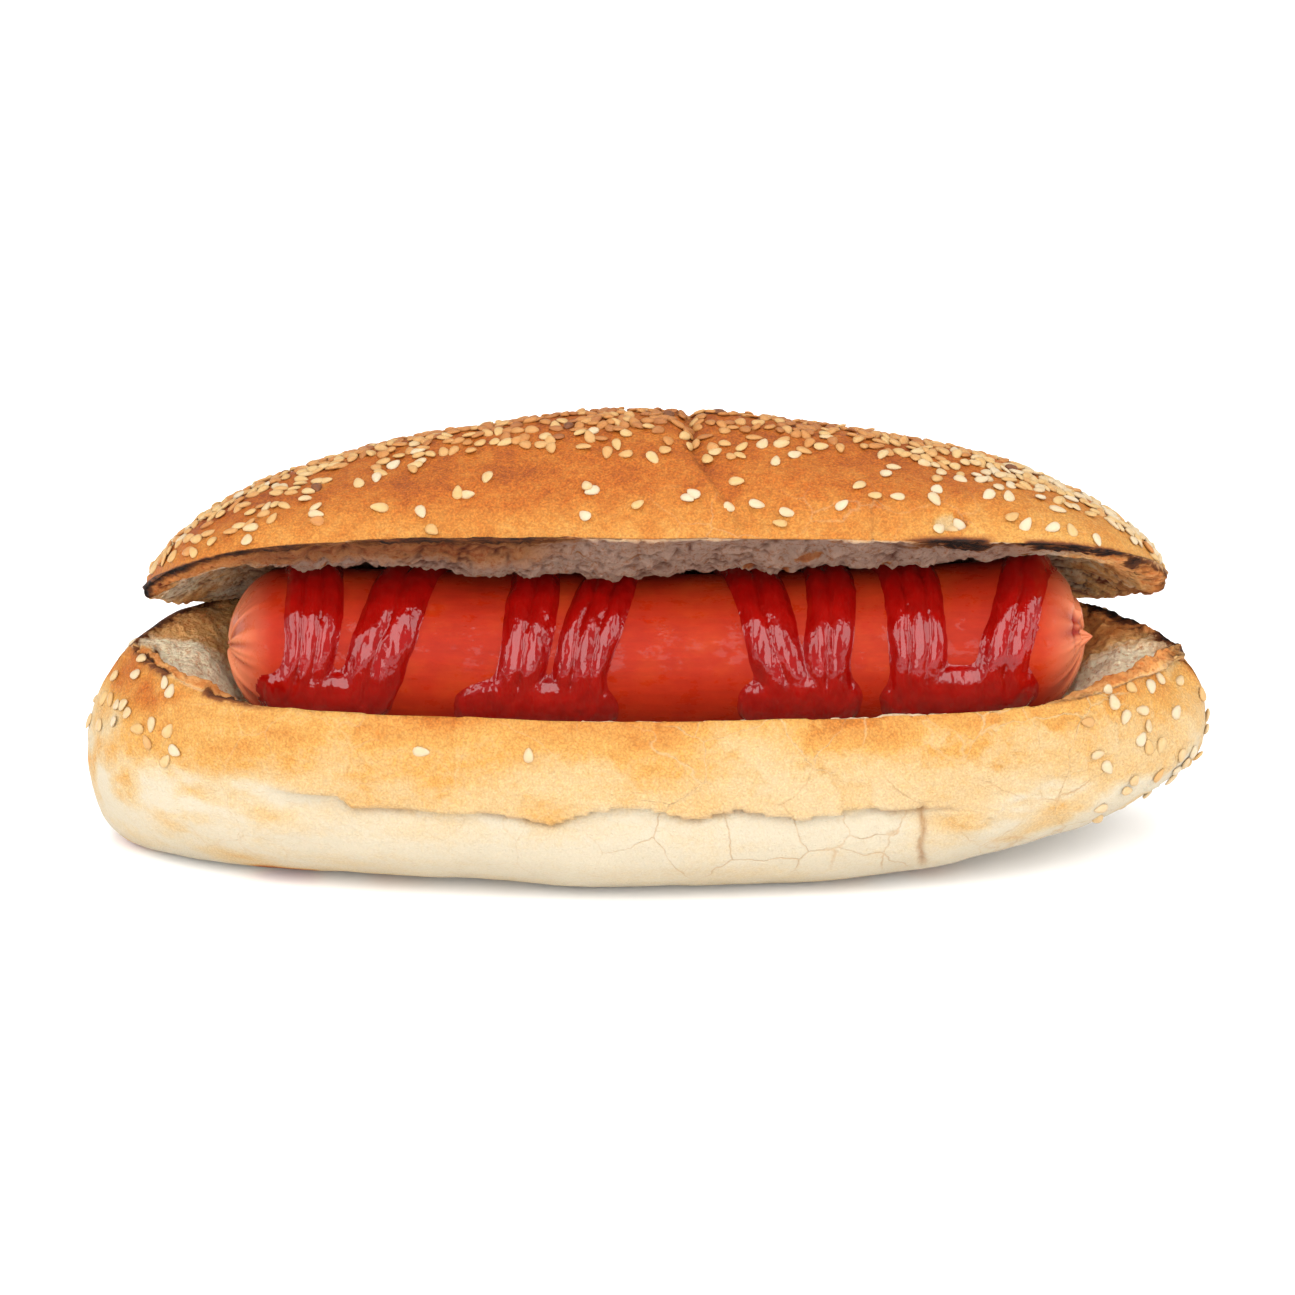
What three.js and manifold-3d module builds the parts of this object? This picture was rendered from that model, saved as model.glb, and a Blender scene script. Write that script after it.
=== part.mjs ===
// A hot dog: a sesame roll slit along its front and still joined along its back, opened over a
// thick frankfurter that carries a zigzag of ketchup.
// Millimetres, +Z up, +X along the roll, and -Y the open side that faces whoever eats it.
import * as THREE from "three";
import { ParametricGeometry } from "three/addons/geometries/ParametricGeometry.js";
import { mergeGeometries, mergeVertices } from "three/addons/utils/BufferGeometryUtils.js";
import Module from "manifold-3d";

const wasm = await Module();
wasm.setup();

// Driving sizes of the roll, closed.
const ROLL_REACH = 112; // half of the roll's length, at its widest level
const ROLL_HALF_WIDTH = 39;
const CUT_HEIGHT = 41; // the slit lies level at this height
const CUT_REACH = { left: 102, right: 104.5 }; // half of the slit's length at each end
const BULGE_HEIGHT = 21; // the widest level of the roll
const CROWN_HEIGHT = 31.3; // height of the top half above the slit
const FLAT_SINK = 1.5; // how much of the underside's curve the oven tray has flattened
const FLAT_REACH = { left: 90, right: 80 }; // half of the length of the underside's middle line
const TURN_UP = { slope: 0.2, from: 34, easing: 20 }; // the underside climbs towards the right end
const BELLY = { proud: 2.5, x: -8, width: 28 }; // the front's fullest place
const RIM_DIP = { depth: 1.8, width: 62, fullAt: 30 }; // sag of the front rim's middle
const FOLD = { depth: 1.5, x: 8, width: 6 }; // dent across the crown

// The opened top half.
const OPENING = THREE.MathUtils.degToRad(30);
const HINGE_Y = 30; // the joined strip starts this far behind the middle
const HINGE_DRIFT = { left: 9.2, right: 4.2 }; // how far the hinge line swings forward at the ends
const TORN_LIP = { hang: 4.4, x: -8, y: -20, length: 62, width: 8 }; // crumb that hangs behind the front rim
const GROOVE = { depth: 3.4, rise: 0.9, y: 2, width: 15, from: 82, to: 100 }; // room over the frankfurter
const END_BULGE = { hang: 1.5, from: 80, to: 98 }; // the cut face is full at its ends
const CRUMB_EASING = 7; // the cut face's relief fades out this near to the rim
const TROUGH = { atEnds: 1.5, play: 0.5, curve: 1.5, before: 9, past: 8 }; // pressed by the frankfurter

// The frankfurter and its ketchup.
const LINK_RADIUS = 16;
const LINK_END_LEFT = -84;
const LINK_END_RIGHT = 87;
const LINK_Y = -3;
const LINK_HEIGHT = 40.5;
const LINK_RISE = { left: 2.0, right: 4.8 }; // how far its ends curve up
const CAP_DEPTH = 14;
const PUCKER = { share: 0.035, folds: 11 }; // of the casing at its tips
const NUB = { radius: 4.2, length: 9, inward: 2.6, forward: 3.5, up: 0.5 }; // at the right tip
const BEAD_HALF_WIDTH = 4.8;
const BEAD_HEIGHT = 2.4;
const BEAD_SINK = 0.8; // the bead's middle line lies this far under the casing
const POOL = { thick: 4.4, tall: 6.2, sink: 0.6, degrees: -19 }; // ketchup gathered behind the front rim
const CLEARANCE = 0.4; // room left between the frankfurter and the roll

// Sesame seeds.
const SEED_LENGTH = 3.3;
const SEED_WIDTH = 2.1;
const SEED_PROUD = 0.8; // how far a seed stands out of the crust
const SEEDS_ON_TOP = 98;
const SEEDS_ON_ENDS = 20;
const SEED_BAND = { thickTo: 11, thinFrom: 31, thinning: 0.94, lowest: 0.12 }; // across the top, then up it
const SPREAD = { along: 0.7548776662, across: 0.5698402909, thinning: 0.6180339887, spin: 0.4142135624 };

// Grids of the bread's surfaces.
const BREAD_COLUMNS = 36;
const LOWER_ROWS = 22;
const UPPER_ROWS = 18;
const CRUMB_ROWS = 10;

// The middle of the finished part's base, in the frame that the sizes above are given in.
const BASE_MIDDLE = new THREE.Vector3(0, -1.25, 0);

const { clamp, lerp, smoothstep, degToRad } = THREE.MathUtils;
const SPAN_ABOVE_BULGE = CUT_HEIGHT + CROWN_HEIGHT - BULGE_HEIGHT;
const CUT_SINE = (CUT_HEIGHT - BULGE_HEIGHT) / SPAN_ABOVE_BULGE;
const CUT_ANGLE = Math.asin(CUT_SINE);

const bell = (x, width) => Math.exp(-((x / width) ** 2));
const positive = (x) => Math.max(0, x);
const endOf = (x) => (x < 0 ? "left" : "right");

// Half of the width of a plan outline at a share u of its reach, as a share of the widest: the fullness says
// how long it stays wide, and a power under 1 rounds its tips.
const outlineWidth = (u, { fullness, power }) => positive(1 - Math.abs(u) ** fullness) ** power;
const mixOutlines = (a, b, share) => ({
  fullness: lerp(a.fullness, b.fullness, share),
  power: lerp(a.power, b.power, share),
});
const LOWER_RIM = { left: { fullness: 7.5, power: 1 }, right: { fullness: 6, power: 1 } };
const UPPER_RIM = { left: { fullness: 9, power: 0.8 }, right: { fullness: 10, power: 0.65 } };
const BULGE = { fullness: 3, power: 0.5 };
const CROWN = { fullness: 2.3, power: 0.5 };

// The lower half of the roll.

// A point of the lower crust: t runs along the roll from -1 to 1, depth from the rim (0) to the underside's
// middle line (1), and side is -1 in front and 1 behind.
function lowerCrust(t, depth, side, target) {
  const angle = lerp(CUT_ANGLE, -Math.PI / 2, depth);
  const c = Math.cos(angle);
  const s = Math.sin(angle);
  const u = Math.sin((Math.PI / 2) * t);
  let reach, width, z, outline;
  if (angle >= 0) {
    const nearRim = angle / CUT_ANGLE;
    reach = ROLL_REACH * (t < 0 ? c : c ** 0.62);
    width = ROLL_HALF_WIDTH * c;
    z = BULGE_HEIGHT + SPAN_ABOVE_BULGE * s;
    outline = outlineWidth(u, mixOutlines(BULGE, LOWER_RIM[endOf(t)], nearRim));
  } else {
    const inward = positive(c) ** 0.7;
    reach = lerp(FLAT_REACH[endOf(t)], ROLL_REACH, inward);
    width = ROLL_HALF_WIDTH * inward;
    z = positive(BULGE_HEIGHT - (BULGE_HEIGHT + FLAT_SINK) * positive(-s) ** 0.8);
    outline = outlineWidth(u, BULGE);
  }
  const x = reach * u;
  const belly = side < 0 ? BELLY.proud * bell(x - BELLY.x, BELLY.width) * (width / ROLL_HALF_WIDTH) : 0;
  const y = side * (width + belly) * outline;
  const past = positive(x - TURN_UP.from);
  const turnedUp = ((TURN_UP.slope * past * past) / (past + TURN_UP.easing)) * (1 - z / CUT_HEIGHT);
  target.set(x, y, z + turnedUp - rimDip(x, y) * smoothstep(z, BULGE_HEIGHT, CUT_HEIGHT));
}

// The front rim sags a little in the middle of the roll.
const rimDip = (x, y) => RIM_DIP.depth * bell(x, RIM_DIP.width) * clamp(-y / RIM_DIP.fullAt, 0, 1);

// The trough that the frankfurter has pressed into the crumb, below the level of the slit.
function troughDepth(x, y, front, back) {
  const reachOut = y < LINK_Y ? (LINK_Y - y) / (LINK_Y - front) : (y - LINK_Y) / (back - LINK_Y);
  const full = CUT_HEIGHT - linkHeight(x) + LINK_RADIUS + TROUGH.play;
  const left = smoothstep(x, LINK_END_LEFT - TROUGH.past, LINK_END_LEFT + TROUGH.before);
  const right = 1 - smoothstep(x, LINK_END_RIGHT - TROUGH.before, LINK_END_RIGHT + TROUGH.past);
  return lerp(TROUGH.atEnds, full, Math.min(left, right)) * (1 - clamp(reachOut, 0, 1) ** TROUGH.curve);
}

function lowerCrumb(t, across, target) {
  const rim = new THREE.Vector3();
  lowerCrust(t, 0, -1, rim);
  const front = rim.y;
  const frontHeight = rim.z;
  lowerCrust(t, 0, 1, rim);
  const y = lerp(front, rim.y, across);
  const level = lerp(frontHeight, rim.z, across);
  const pressed = front < LINK_Y && rim.y > LINK_Y ? troughDepth(rim.x, y, front, rim.y) : 0;
  target.set(rim.x, y, level - pressed);
}

// The upper half of the roll, first closed and then swung open about its hinge.

const hingeY = (x) => HINGE_Y - HINGE_DRIFT[endOf(x)] * (x / CUT_REACH[endOf(x)]) ** 4;

function open(target) {
  const back = hingeY(target.x);
  const dy = target.y - back;
  const dz = target.z - CUT_HEIGHT;
  target.y = back + dy * Math.cos(OPENING) + dz * Math.sin(OPENING);
  target.z = CUT_HEIGHT - dy * Math.sin(OPENING) + dz * Math.cos(OPENING);
}

// The closed half's length to one end, and half of its width at x, at a share of the crown's height.
const upperReach = (x, lift) => CUT_REACH[endOf(x)] * positive(1 - lift ** 1.82) ** 0.556;

function upperHalfWidth(x, lift) {
  const sine = CUT_SINE + (1 - CUT_SINE) * lift;
  const blend = smoothstep(lift, 0, 0.6);
  const u = Math.min(1, Math.abs(x) / (upperReach(x, lift) || 1));
  const width = ROLL_HALF_WIDTH * Math.sqrt(positive(1 - sine * sine));
  return width * outlineWidth(u, mixOutlines(UPPER_RIM[endOf(x)], CROWN, blend));
}

// A point of the upper crust, with rise from the rim (0) to the crown (1).
function upperCrust(t, rise, side, target) {
  const lift = Math.sin((Math.PI / 2) * rise);
  const x = upperReach(t, lift) * Math.sin((Math.PI / 2) * t);
  const fold = FOLD.depth * bell(x - FOLD.x, FOLD.width) * lift;
  target.set(x, side * upperHalfWidth(x, lift), CUT_HEIGHT + CROWN_HEIGHT * lift - fold);
  open(target);
}

// The torn cut face. A groove in it leaves the frankfurter and its ketchup room.
function upperCrumb(t, across, target) {
  const x = upperReach(t, 0) * Math.sin((Math.PI / 2) * t);
  const width = upperHalfWidth(x, 0);
  const y = lerp(-width, width, across);
  const inside = smoothstep(width - Math.abs(y), 0, CRUMB_EASING);
  const alongLip = bell(x - TORN_LIP.x, TORN_LIP.length);
  const tornLip = TORN_LIP.hang * bell(y - TORN_LIP.y, TORN_LIP.width) * alongLip;
  const overLink = 1 - smoothstep(Math.abs(x), GROOVE.from, GROOVE.to);
  const grooveDepth = GROOVE.depth + GROOVE.rise * (linkHeight(x) - LINK_HEIGHT);
  const groove = grooveDepth * bell(y - GROOVE.y, GROOVE.width) * overLink;
  const endBulge = END_BULGE.hang * smoothstep(Math.abs(x), END_BULGE.from, END_BULGE.to);
  target.set(x, y, CUT_HEIGHT + (groove - tornLip - endBulge) * inside);
  open(target);
}

// Both halves are a crust and a cut face that share their rim.

function crustAndCrumb(crust, crumb, columns, crustRows, crumbRows) {
  const outside = new ParametricGeometry(
    (u, v, target) => crust(2 * u - 1, 1 - Math.abs(1 - 2 * v), v < 0.5 ? -1 : 1, target),
    columns,
    crustRows,
  );
  const inside = new ParametricGeometry((u, v, target) => crumb(2 * u - 1, 1 - v, target), columns, crumbRows);
  return [outside, inside];
}

// Joins open sheets into one closed solid that faces out, without the triangles that collapse at a pole or a tip.
function solidFrom(...sheets) {
  for (const sheet of sheets) sheet.deleteAttribute("normal").deleteAttribute("uv");
  const merged = mergeVertices(mergeGeometries(sheets), 1e-3);
  const kept = [];
  const index = merged.index.array;
  for (let i = 0; i < index.length; i += 3) {
    const [a, b, c] = [index[i], index[i + 1], index[i + 2]];
    if (a !== b && b !== c && c !== a) kept.push(a, b, c);
  }
  const closed = (triangles) =>
    new wasm.Manifold(
      new wasm.Mesh({
        numProp: 3,
        vertProperties: merged.attributes.position.array,
        triVerts: new Uint32Array(triangles),
      }),
    );
  const solid = closed(kept);
  return solid.volume() > 0 ? solid : closed(kept.reverse());
}

// The one outer shell of a fused solid: a hollow that fusing sealed is filled, and a loose scrap dropped.
const outerShell = (solid) => solid.decompose().sort((a, b) => b.volume() - a.volume())[0];

// The frankfurter.

function linkHeight(x) {
  const share = x < 0 ? x / LINK_END_LEFT : x / LINK_END_RIGHT;
  return LINK_HEIGHT + (x < 0 ? LINK_RISE.left : LINK_RISE.right) * share * share;
}

// A point at an angle round the frankfurter (0 in front, a quarter turn on top), out from its middle line.
function aroundLink(x, angle, radius, target) {
  target.set(x, LINK_Y - radius * Math.cos(angle), linkHeight(x) + radius * Math.sin(angle));
}

// The casing, grown by an offset: two rounded caps that pucker towards their tips, and a barrel between them.
function linkSurface(offset) {
  const caps = 0.3; // share of the rows that each cap takes
  return new ParametricGeometry(
    (u, v, target) => {
      const angle = 2 * Math.PI * u;
      const left = clamp(1 - v / caps, 0, 1);
      const right = clamp(1 - (1 - v) / caps, 0, 1);
      const bend = (Math.PI / 2) * Math.max(left, right);
      const barrel = clamp((v - caps) / (1 - 2 * caps), 0, 1);
      const depth = CAP_DEPTH + offset;
      const x =
        lerp(LINK_END_LEFT + CAP_DEPTH, LINK_END_RIGHT - CAP_DEPTH, barrel) +
        Math.sin(bend) * depth * (left > 0 ? -1 : 1);
      const pucker = offset > 0 ? 0 : PUCKER.share * Math.sin(bend) ** 4 * Math.cos(PUCKER.folds * angle);
      const radius = (LINK_RADIUS + offset) * positive(Math.cos(bend)) ** 0.9 * (1 + pucker);
      aroundLink(x, angle, radius, target);
    },
    28,
    24,
  );
}

// The twisted nub that sticks out of the right end, a little above its middle.
function nub() {
  const cone = new THREE.ConeGeometry(NUB.radius, NUB.length, 12, 2).rotateZ(-Math.PI / 2);
  const height = linkHeight(LINK_END_RIGHT) + NUB.up;
  return cone.translate(LINK_END_RIGHT - NUB.inward, LINK_Y - NUB.forward, height);
}

// The ketchup: one bead laid to and fro across the frankfurter. Each stroke is its place along the roll
// where it leaves the top and where it meets its pool.
const STROKES = [
  { top: -66, foot: -67.5 },
  { top: -45, foot: -56 },
  { top: -22, foot: -26.5 },
  { top: -7, foot: -14 },
  { top: 22, foot: 28 },
  { top: 34, foot: 36 },
  { top: 51, foot: 54.5 },
  { top: 77, foot: 71 },
];
const POOLS = [
  { from: -74.8, to: -52.2 },
  { from: -36.4, to: -6.6 },
  { from: 19, to: 40.8 },
  { from: 47.4, to: 75 },
];
const FOOT_ANGLE = degToRad(-12);
const OVER_ANGLE = degToRad(105);
const TURN_ANGLE = degToRad(150);

function beadPath() {
  const points = [];
  const add = (x, angle) => points.push(new THREE.Vector2(x, angle));
  STROKES.forEach(({ top, foot }, i) => {
    const stroke = [
      [top, TURN_ANGLE],
      [top, OVER_ANGLE],
      [lerp(top, foot, 0.55), degToRad(50)],
      [foot, degToRad(15)],
      [foot, FOOT_ANGLE],
    ];
    for (const [x, angle] of i % 2 ? stroke.reverse() : stroke) add(x, angle);
  });
  return new THREE.SplineCurve(points);
}

function ketchupBead() {
  const path = beadPath();
  const at = new THREE.Vector3();
  const next = new THREE.Vector3();
  const outward = new THREE.Vector3();
  const sideways = new THREE.Vector3();
  return new ParametricGeometry(
    (u, v, target) => {
      const step = clamp(v, 0.001, 0.998);
      const here = path.getPoint(step);
      const ahead = path.getPoint(step + 0.001);
      aroundLink(here.x, here.y, LINK_RADIUS, at);
      aroundLink(ahead.x, ahead.y, LINK_RADIUS, next);
      outward.set(0, -Math.cos(here.y), Math.sin(here.y));
      sideways.crossVectors(next.sub(at), outward).normalize();
      const round = 2 * Math.PI * u;
      const taper = Math.sqrt(clamp(Math.min(v, 1 - v) * 60, 0, 1));
      target
        .copy(at)
        .addScaledVector(sideways, BEAD_HALF_WIDTH * Math.cos(round) * taper)
        .addScaledVector(outward, (BEAD_HEIGHT + BEAD_SINK) * Math.sin(round) * taper - BEAD_SINK);
    },
    8,
    108,
  );
}

// Each pair of strokes runs into a pool in front, behind the roll's rim.
function pools() {
  return POOLS.map(({ from, to }) => {
    const angle = degToRad(POOL.degrees);
    const middle = new THREE.Vector3();
    aroundLink((from + to) / 2, angle, LINK_RADIUS - POOL.sink, middle);
    const pool = new THREE.SphereGeometry(1, 12, 8);
    pool.scale((to - from) / 2, POOL.thick, POOL.tall);
    pool.rotateX(-angle);
    return pool.translate(middle.x, middle.y, middle.z);
  });
}

function buildLink() {
  let link = solidFrom(linkSurface(0)).add(solidFrom(nub())).add(solidFrom(ketchupBead()));
  for (const pool of pools()) link = link.add(solidFrom(pool));
  return outerShell(link);
}

// Sesame seeds lie where the baker's tray of seeds met the dough: thick on the crown and thinner down the
// flanks, with a few on the ends of the lower half.

// The nth draw, from 0 to 1, of an even spread with a given step.
const draw = (n, step) => (n * step) % 1;

// One seed, flat side down in the crust, its long way turned by a spin about the crust's normal.
function seedAt(place, along, normal, spin) {
  const seed = new THREE.SphereGeometry(1, 5, 3).rotateX(Math.PI / 2);
  seed.scale(SEED_LENGTH / 2, SEED_WIDTH / 2, SEED_PROUD);
  seed.rotateZ(spin);
  const across = new THREE.Vector3().crossVectors(normal, along).normalize();
  const level = new THREE.Vector3().crossVectors(across, normal);
  const frame = new THREE.Matrix4().makeBasis(level, across, normal);
  return seed.applyMatrix4(frame.setPosition(place));
}

// The seed's place on a crust, with the normal measured from two short steps.
function seedOn(crust, t, share, side, spin) {
  const step = 0.01;
  const place = new THREE.Vector3();
  const along = new THREE.Vector3();
  const up = new THREE.Vector3();
  crust(t, share, side, place);
  crust(t + step, share, side, along);
  crust(t, share + step, side, up);
  along.sub(place).normalize();
  up.sub(place).normalize();
  const normal = new THREE.Vector3().crossVectors(along, up).normalize();
  const middle = new THREE.Vector3(place.x * 0.8, 8, 40);
  if (normal.dot(place.clone().sub(middle)) < 0) normal.negate();
  return seedAt(place, along, normal, spin);
}

// How far up the crown the closed half's crust lies over a point of the plan, and 0 off the plan.
function liftOver(x, y) {
  let low = 0;
  let high = 1;
  for (let i = 0; i < 24; i++) {
    const middle = (low + high) / 2;
    const covers = Math.abs(x) < upperReach(x, middle) && Math.abs(y) < upperHalfWidth(x, middle);
    if (covers) low = middle;
    else high = middle;
  }
  return low;
}

function seeds() {
  const laid = [];
  for (let n = 1; laid.length < SEEDS_ON_TOP; n++) {
    const x = lerp(-CUT_REACH.left, CUT_REACH.right, draw(n, SPREAD.along));
    const y = lerp(-ROLL_HALF_WIDTH, ROLL_HALF_WIDTH, draw(n, SPREAD.across));
    const share = 1 - SEED_BAND.thinning * smoothstep(Math.abs(y), SEED_BAND.thickTo, SEED_BAND.thinFrom);
    const lift = liftOver(x, y);
    if (lift < SEED_BAND.lowest || draw(n, SPREAD.thinning) > share) continue;
    const t = Math.asin(x / upperReach(x, lift)) / (Math.PI / 2);
    const rise = Math.min(Math.asin(lift) / (Math.PI / 2), 0.97);
    laid.push(seedOn(upperCrust, t, rise, Math.sign(y), 2 * Math.PI * draw(n, SPREAD.spin)));
  }
  for (let n = 1; n <= SEEDS_ON_ENDS; n++) {
    const end = n % 2 ? 1 : -1;
    const t = end * (0.5 + 0.42 * draw(n, SPREAD.along));
    const depth = 0.05 + (end > 0 ? 0.45 : 0.25) * draw(n, SPREAD.across);
    laid.push(seedOn(lowerCrust, t, depth, n % 4 < 2 ? -1 : 1, 2 * Math.PI * draw(n, SPREAD.spin)));
  }
  return laid;
}

function buildBun() {
  const lower = solidFrom(...crustAndCrumb(lowerCrust, lowerCrumb, BREAD_COLUMNS, LOWER_ROWS, CRUMB_ROWS));
  const upper = solidFrom(...crustAndCrumb(upperCrust, upperCrumb, BREAD_COLUMNS, UPPER_ROWS, CRUMB_ROWS));
  const bread = lower.subtract(solidFrom(linkSurface(CLEARANCE))).add(upper);
  return outerShell(wasm.Manifold.union([bread, ...seeds().map((seed) => solidFrom(seed))]));
}

// A named mesh of a finished solid.
function meshOf(name, solid, material) {
  const made = solid.getMesh();
  const geometry = new THREE.BufferGeometry();
  const position = new Float32Array(made.vertProperties);
  geometry.setAttribute("position", new THREE.BufferAttribute(position, 3));
  geometry.setIndex(new THREE.BufferAttribute(new Uint32Array(made.triVerts), 1));
  geometry.computeVertexNormals();
  const mesh = new THREE.Mesh(geometry, material);
  mesh.name = name;
  return mesh;
}

const bread = new THREE.MeshStandardMaterial({ color: 0xd9a05c, roughness: 0.75, metalness: 0 });
const meat = new THREE.MeshStandardMaterial({ color: 0xb8331c, roughness: 0.3, metalness: 0 });

const hotDog = new THREE.Group();
hotDog.add(meshOf("bun", buildBun(), bread), meshOf("frankfurter", buildLink(), meat));
hotDog.position.copy(BASE_MIDDLE).negate();

export default hotDog;
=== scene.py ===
"""The looks of a hot dog: a slit sesame roll opened over a frankfurter that carries a zigzag of ketchup.

Shapes are worked out in millimetres in the roll's own frame (X along the roll, -Y its open side, Z up from
the table) from the same driving sizes as the solids, and are set into the row frame at the end.
"""

import itertools
import math

import bpy
import numpy as np
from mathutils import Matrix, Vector


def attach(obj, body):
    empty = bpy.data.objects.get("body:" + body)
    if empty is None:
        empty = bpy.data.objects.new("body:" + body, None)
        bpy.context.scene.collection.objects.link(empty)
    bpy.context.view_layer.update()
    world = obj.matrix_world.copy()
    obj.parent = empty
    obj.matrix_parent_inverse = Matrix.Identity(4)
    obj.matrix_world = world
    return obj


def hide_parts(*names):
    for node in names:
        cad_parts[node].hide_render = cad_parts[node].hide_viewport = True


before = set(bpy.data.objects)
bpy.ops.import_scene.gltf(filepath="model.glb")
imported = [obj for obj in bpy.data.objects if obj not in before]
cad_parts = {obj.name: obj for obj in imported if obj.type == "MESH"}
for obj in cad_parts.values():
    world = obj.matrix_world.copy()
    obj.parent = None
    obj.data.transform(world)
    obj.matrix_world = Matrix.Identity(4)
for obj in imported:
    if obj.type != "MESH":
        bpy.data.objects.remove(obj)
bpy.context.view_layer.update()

MM = 0.001

# Driving sizes of the roll, closed. Pairs are for its left and right end.
ROLL_REACH = 112
ROLL_HALF_WIDTH = 39
CUT_HEIGHT = 41
CUT_REACH = (102, 104.5)
BULGE_HEIGHT = 21
CROWN_HEIGHT = 31.3
FLAT_SINK = 1.5
FLAT_REACH = (90, 80)
TURN_UP = 0.2
BELLY = 2.5
RIM_DIP = 0.9
RIM_DIP_REACH = 62

# The opened top half.
OPENING = math.radians(30)
HINGE_Y = 30
HINGE_DRIFT = (9.2, 4.2)
TORN_LIP_HANG = 4.4
TORN_LIP_Y = -20
TORN_LIP_WIDTH = 8
TORN_LIP_REACH = 62
GROOVE_DEPTH = 3.4

# The frankfurter and its ketchup.
LINK_RADIUS = 16
LINK_LEFT = -84
LINK_RIGHT = 87
LINK_Y = -3
LINK_HEIGHT = 40.5
LINK_RISE = (2.0, 4.8)
CAP_DEPTH = 14
BEAD_HALF_WIDTH = 5.0
BEAD_HEIGHT = 2.3

# The row frame's origin in the roll's own frame.
BASE_MIDDLE = np.array([0, -1.25, 0])

SPAN_ABOVE_BULGE = CUT_HEIGHT + CROWN_HEIGHT - BULGE_HEIGHT
CUT_SINE = (CUT_HEIGHT - BULGE_HEIGHT) / SPAN_ABOVE_BULGE
CUT_ANGLE = math.asin(CUT_SINE)

# The roll's outlines seen from above, each as a superellipse's fullness and power.
LOWER_RIM_FULLNESS = (7.5, 6)
LOWER_RIM_POWER = 1
UPPER_RIM_FULLNESS = (9, 10)
UPPER_RIM_POWER = (0.8, 0.65)
BULGE_FULLNESS = 3
CROWN_FULLNESS = 2.3
WIDE_POWER = 0.5

# Columns along the roll, and rows down its front crust, down its back crust and across its crumb.
LOWER_GRID = (420, 115, 56, 120)
UPPER_GRID = (420, 100, 56, 180)

# The crease along the front of the lower half, where the pale underside begins: x and height.
CREASE = (
    (-69, 24.2), (-61, 24.6), (-58, 21.3), (-45, 21.7), (-35, 22), (-26, 20.9), (-19, 19.4), (-10, 22.8),
    (-1, 23.4), (4, 21.6), (10, 20.3), (17, 22.2), (24, 20.7), (30, 19.9), (38, 21), (42, 21.7), (52, 21),
)

# Where single features lie along the front.
DEEP_CRACK_X = 53.6
FOLD_X_AT_RIM = 17.5
FOLD_X_ABOVE = 8
SPLIT_X = 43.5
BLISTER_X = 59
BLISTER_HEIGHT = 4.2


# Number helpers


def positive(x):
    return np.maximum(0, x)


def lerp(a, b, share):
    return a + (b - a) * share


def smoothstep(x, low, high):
    t = np.clip((x - low) / (high - low), 0, 1)
    return t * t * (3 - 2 * t)


def bell(x, width):
    return np.exp(-((x / width) ** 2))


def at_end(pair, x):
    """The left or right value of a pair, by the side of the middle that x is on."""
    return np.where(x < 0, pair[0], pair[1])


def stacked(*columns):
    return np.stack(columns, axis=-1)


def along(x):
    """Points that vary along the roll alone, for noise."""
    return stacked(x, 0 * x, 0 * x)


def cell_hash(cells, seed):
    """A repeatable number from 0 to 1 for each whole-number cell."""
    x, y, z = (cells[..., k].astype(np.int64).astype(np.uint32) for k in range(3))
    h = x * np.uint32(0x8DA6B343) ^ y * np.uint32(0xD8163841) ^ z * np.uint32(0xCB1AB31F)
    h = h ^ np.uint32((seed * 0x9E3779B1) & 0xFFFFFFFF)
    h = (h ^ (h >> np.uint32(15))) * np.uint32(0x2C1B3C6D)
    h = (h ^ (h >> np.uint32(12))) * np.uint32(0x297A2D39)
    return (h ^ (h >> np.uint32(15))) / 2.0**32


def noise(points, size, seed):
    """Smooth noise from -1 to 1, with features about size mm across."""
    scaled = points / size
    base = np.floor(scaled)
    f = scaled - base
    w = f**3 * (f * (f * 6 - 15) + 10)
    total = 0
    for corner in itertools.product((0, 1), repeat=3):
        weight = np.prod(np.where(corner, w, 1 - w), axis=-1)
        total = total + weight * cell_hash(base + corner, seed)
    return 2 * total - 1


def layered(points, size, octaves, seed):
    """Noise with finer, weaker layers added."""
    total = sum(noise(points, size / 2**k, seed + k) / 2**k for k in range(octaves))
    return total / (2 - 2 ** (1 - octaves))


def scattered(points, size, seed):
    """The distance to the nearest of points strewn about size mm apart, in shares of size."""
    scaled = points / size
    base = np.floor(scaled)
    nearest = np.full(scaled.shape[:-1], 9.0)
    for offset in itertools.product((-1, 0, 1), repeat=3):
        cell = base + offset
        spot = cell + stacked(*(cell_hash(cell, seed + k) for k in range(3)))
        nearest = np.minimum(nearest, np.linalg.norm(spot - scaled, axis=-1))
    return nearest


# Mesh helpers


def tube_faces(columns, ring):
    """Triangles of a grid of columns of points, closed round each column's ring."""
    i, j = np.meshgrid(np.arange(columns - 1), np.arange(ring), indexing="ij")
    a, b = i * ring + j, i * ring + (j + 1) % ring
    c, d = a + ring, b + ring
    return np.concatenate([stacked(a, b, d).reshape(-1, 3), stacked(a, d, c).reshape(-1, 3)])


def welded(vertices, faces):
    """Merges points that coincide and drops the triangles that this collapses."""
    _, keep, inverse = np.unique(np.round(vertices, 4), axis=0, return_index=True, return_inverse=True)
    faces = inverse.reshape(-1)[faces]
    a, b, c = faces.T
    return keep, faces[(a != b) & (b != c) & (c != a)]


def face_normals(vertices, faces):
    a, b, c = (vertices[faces[:, k]] for k in range(3))
    return np.cross(b - a, c - a)


def spread_to_points(values, faces, count):
    """For each point, the sum of a value over its faces."""
    return sum(np.bincount(faces[:, k], values, count) for k in range(3))


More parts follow.
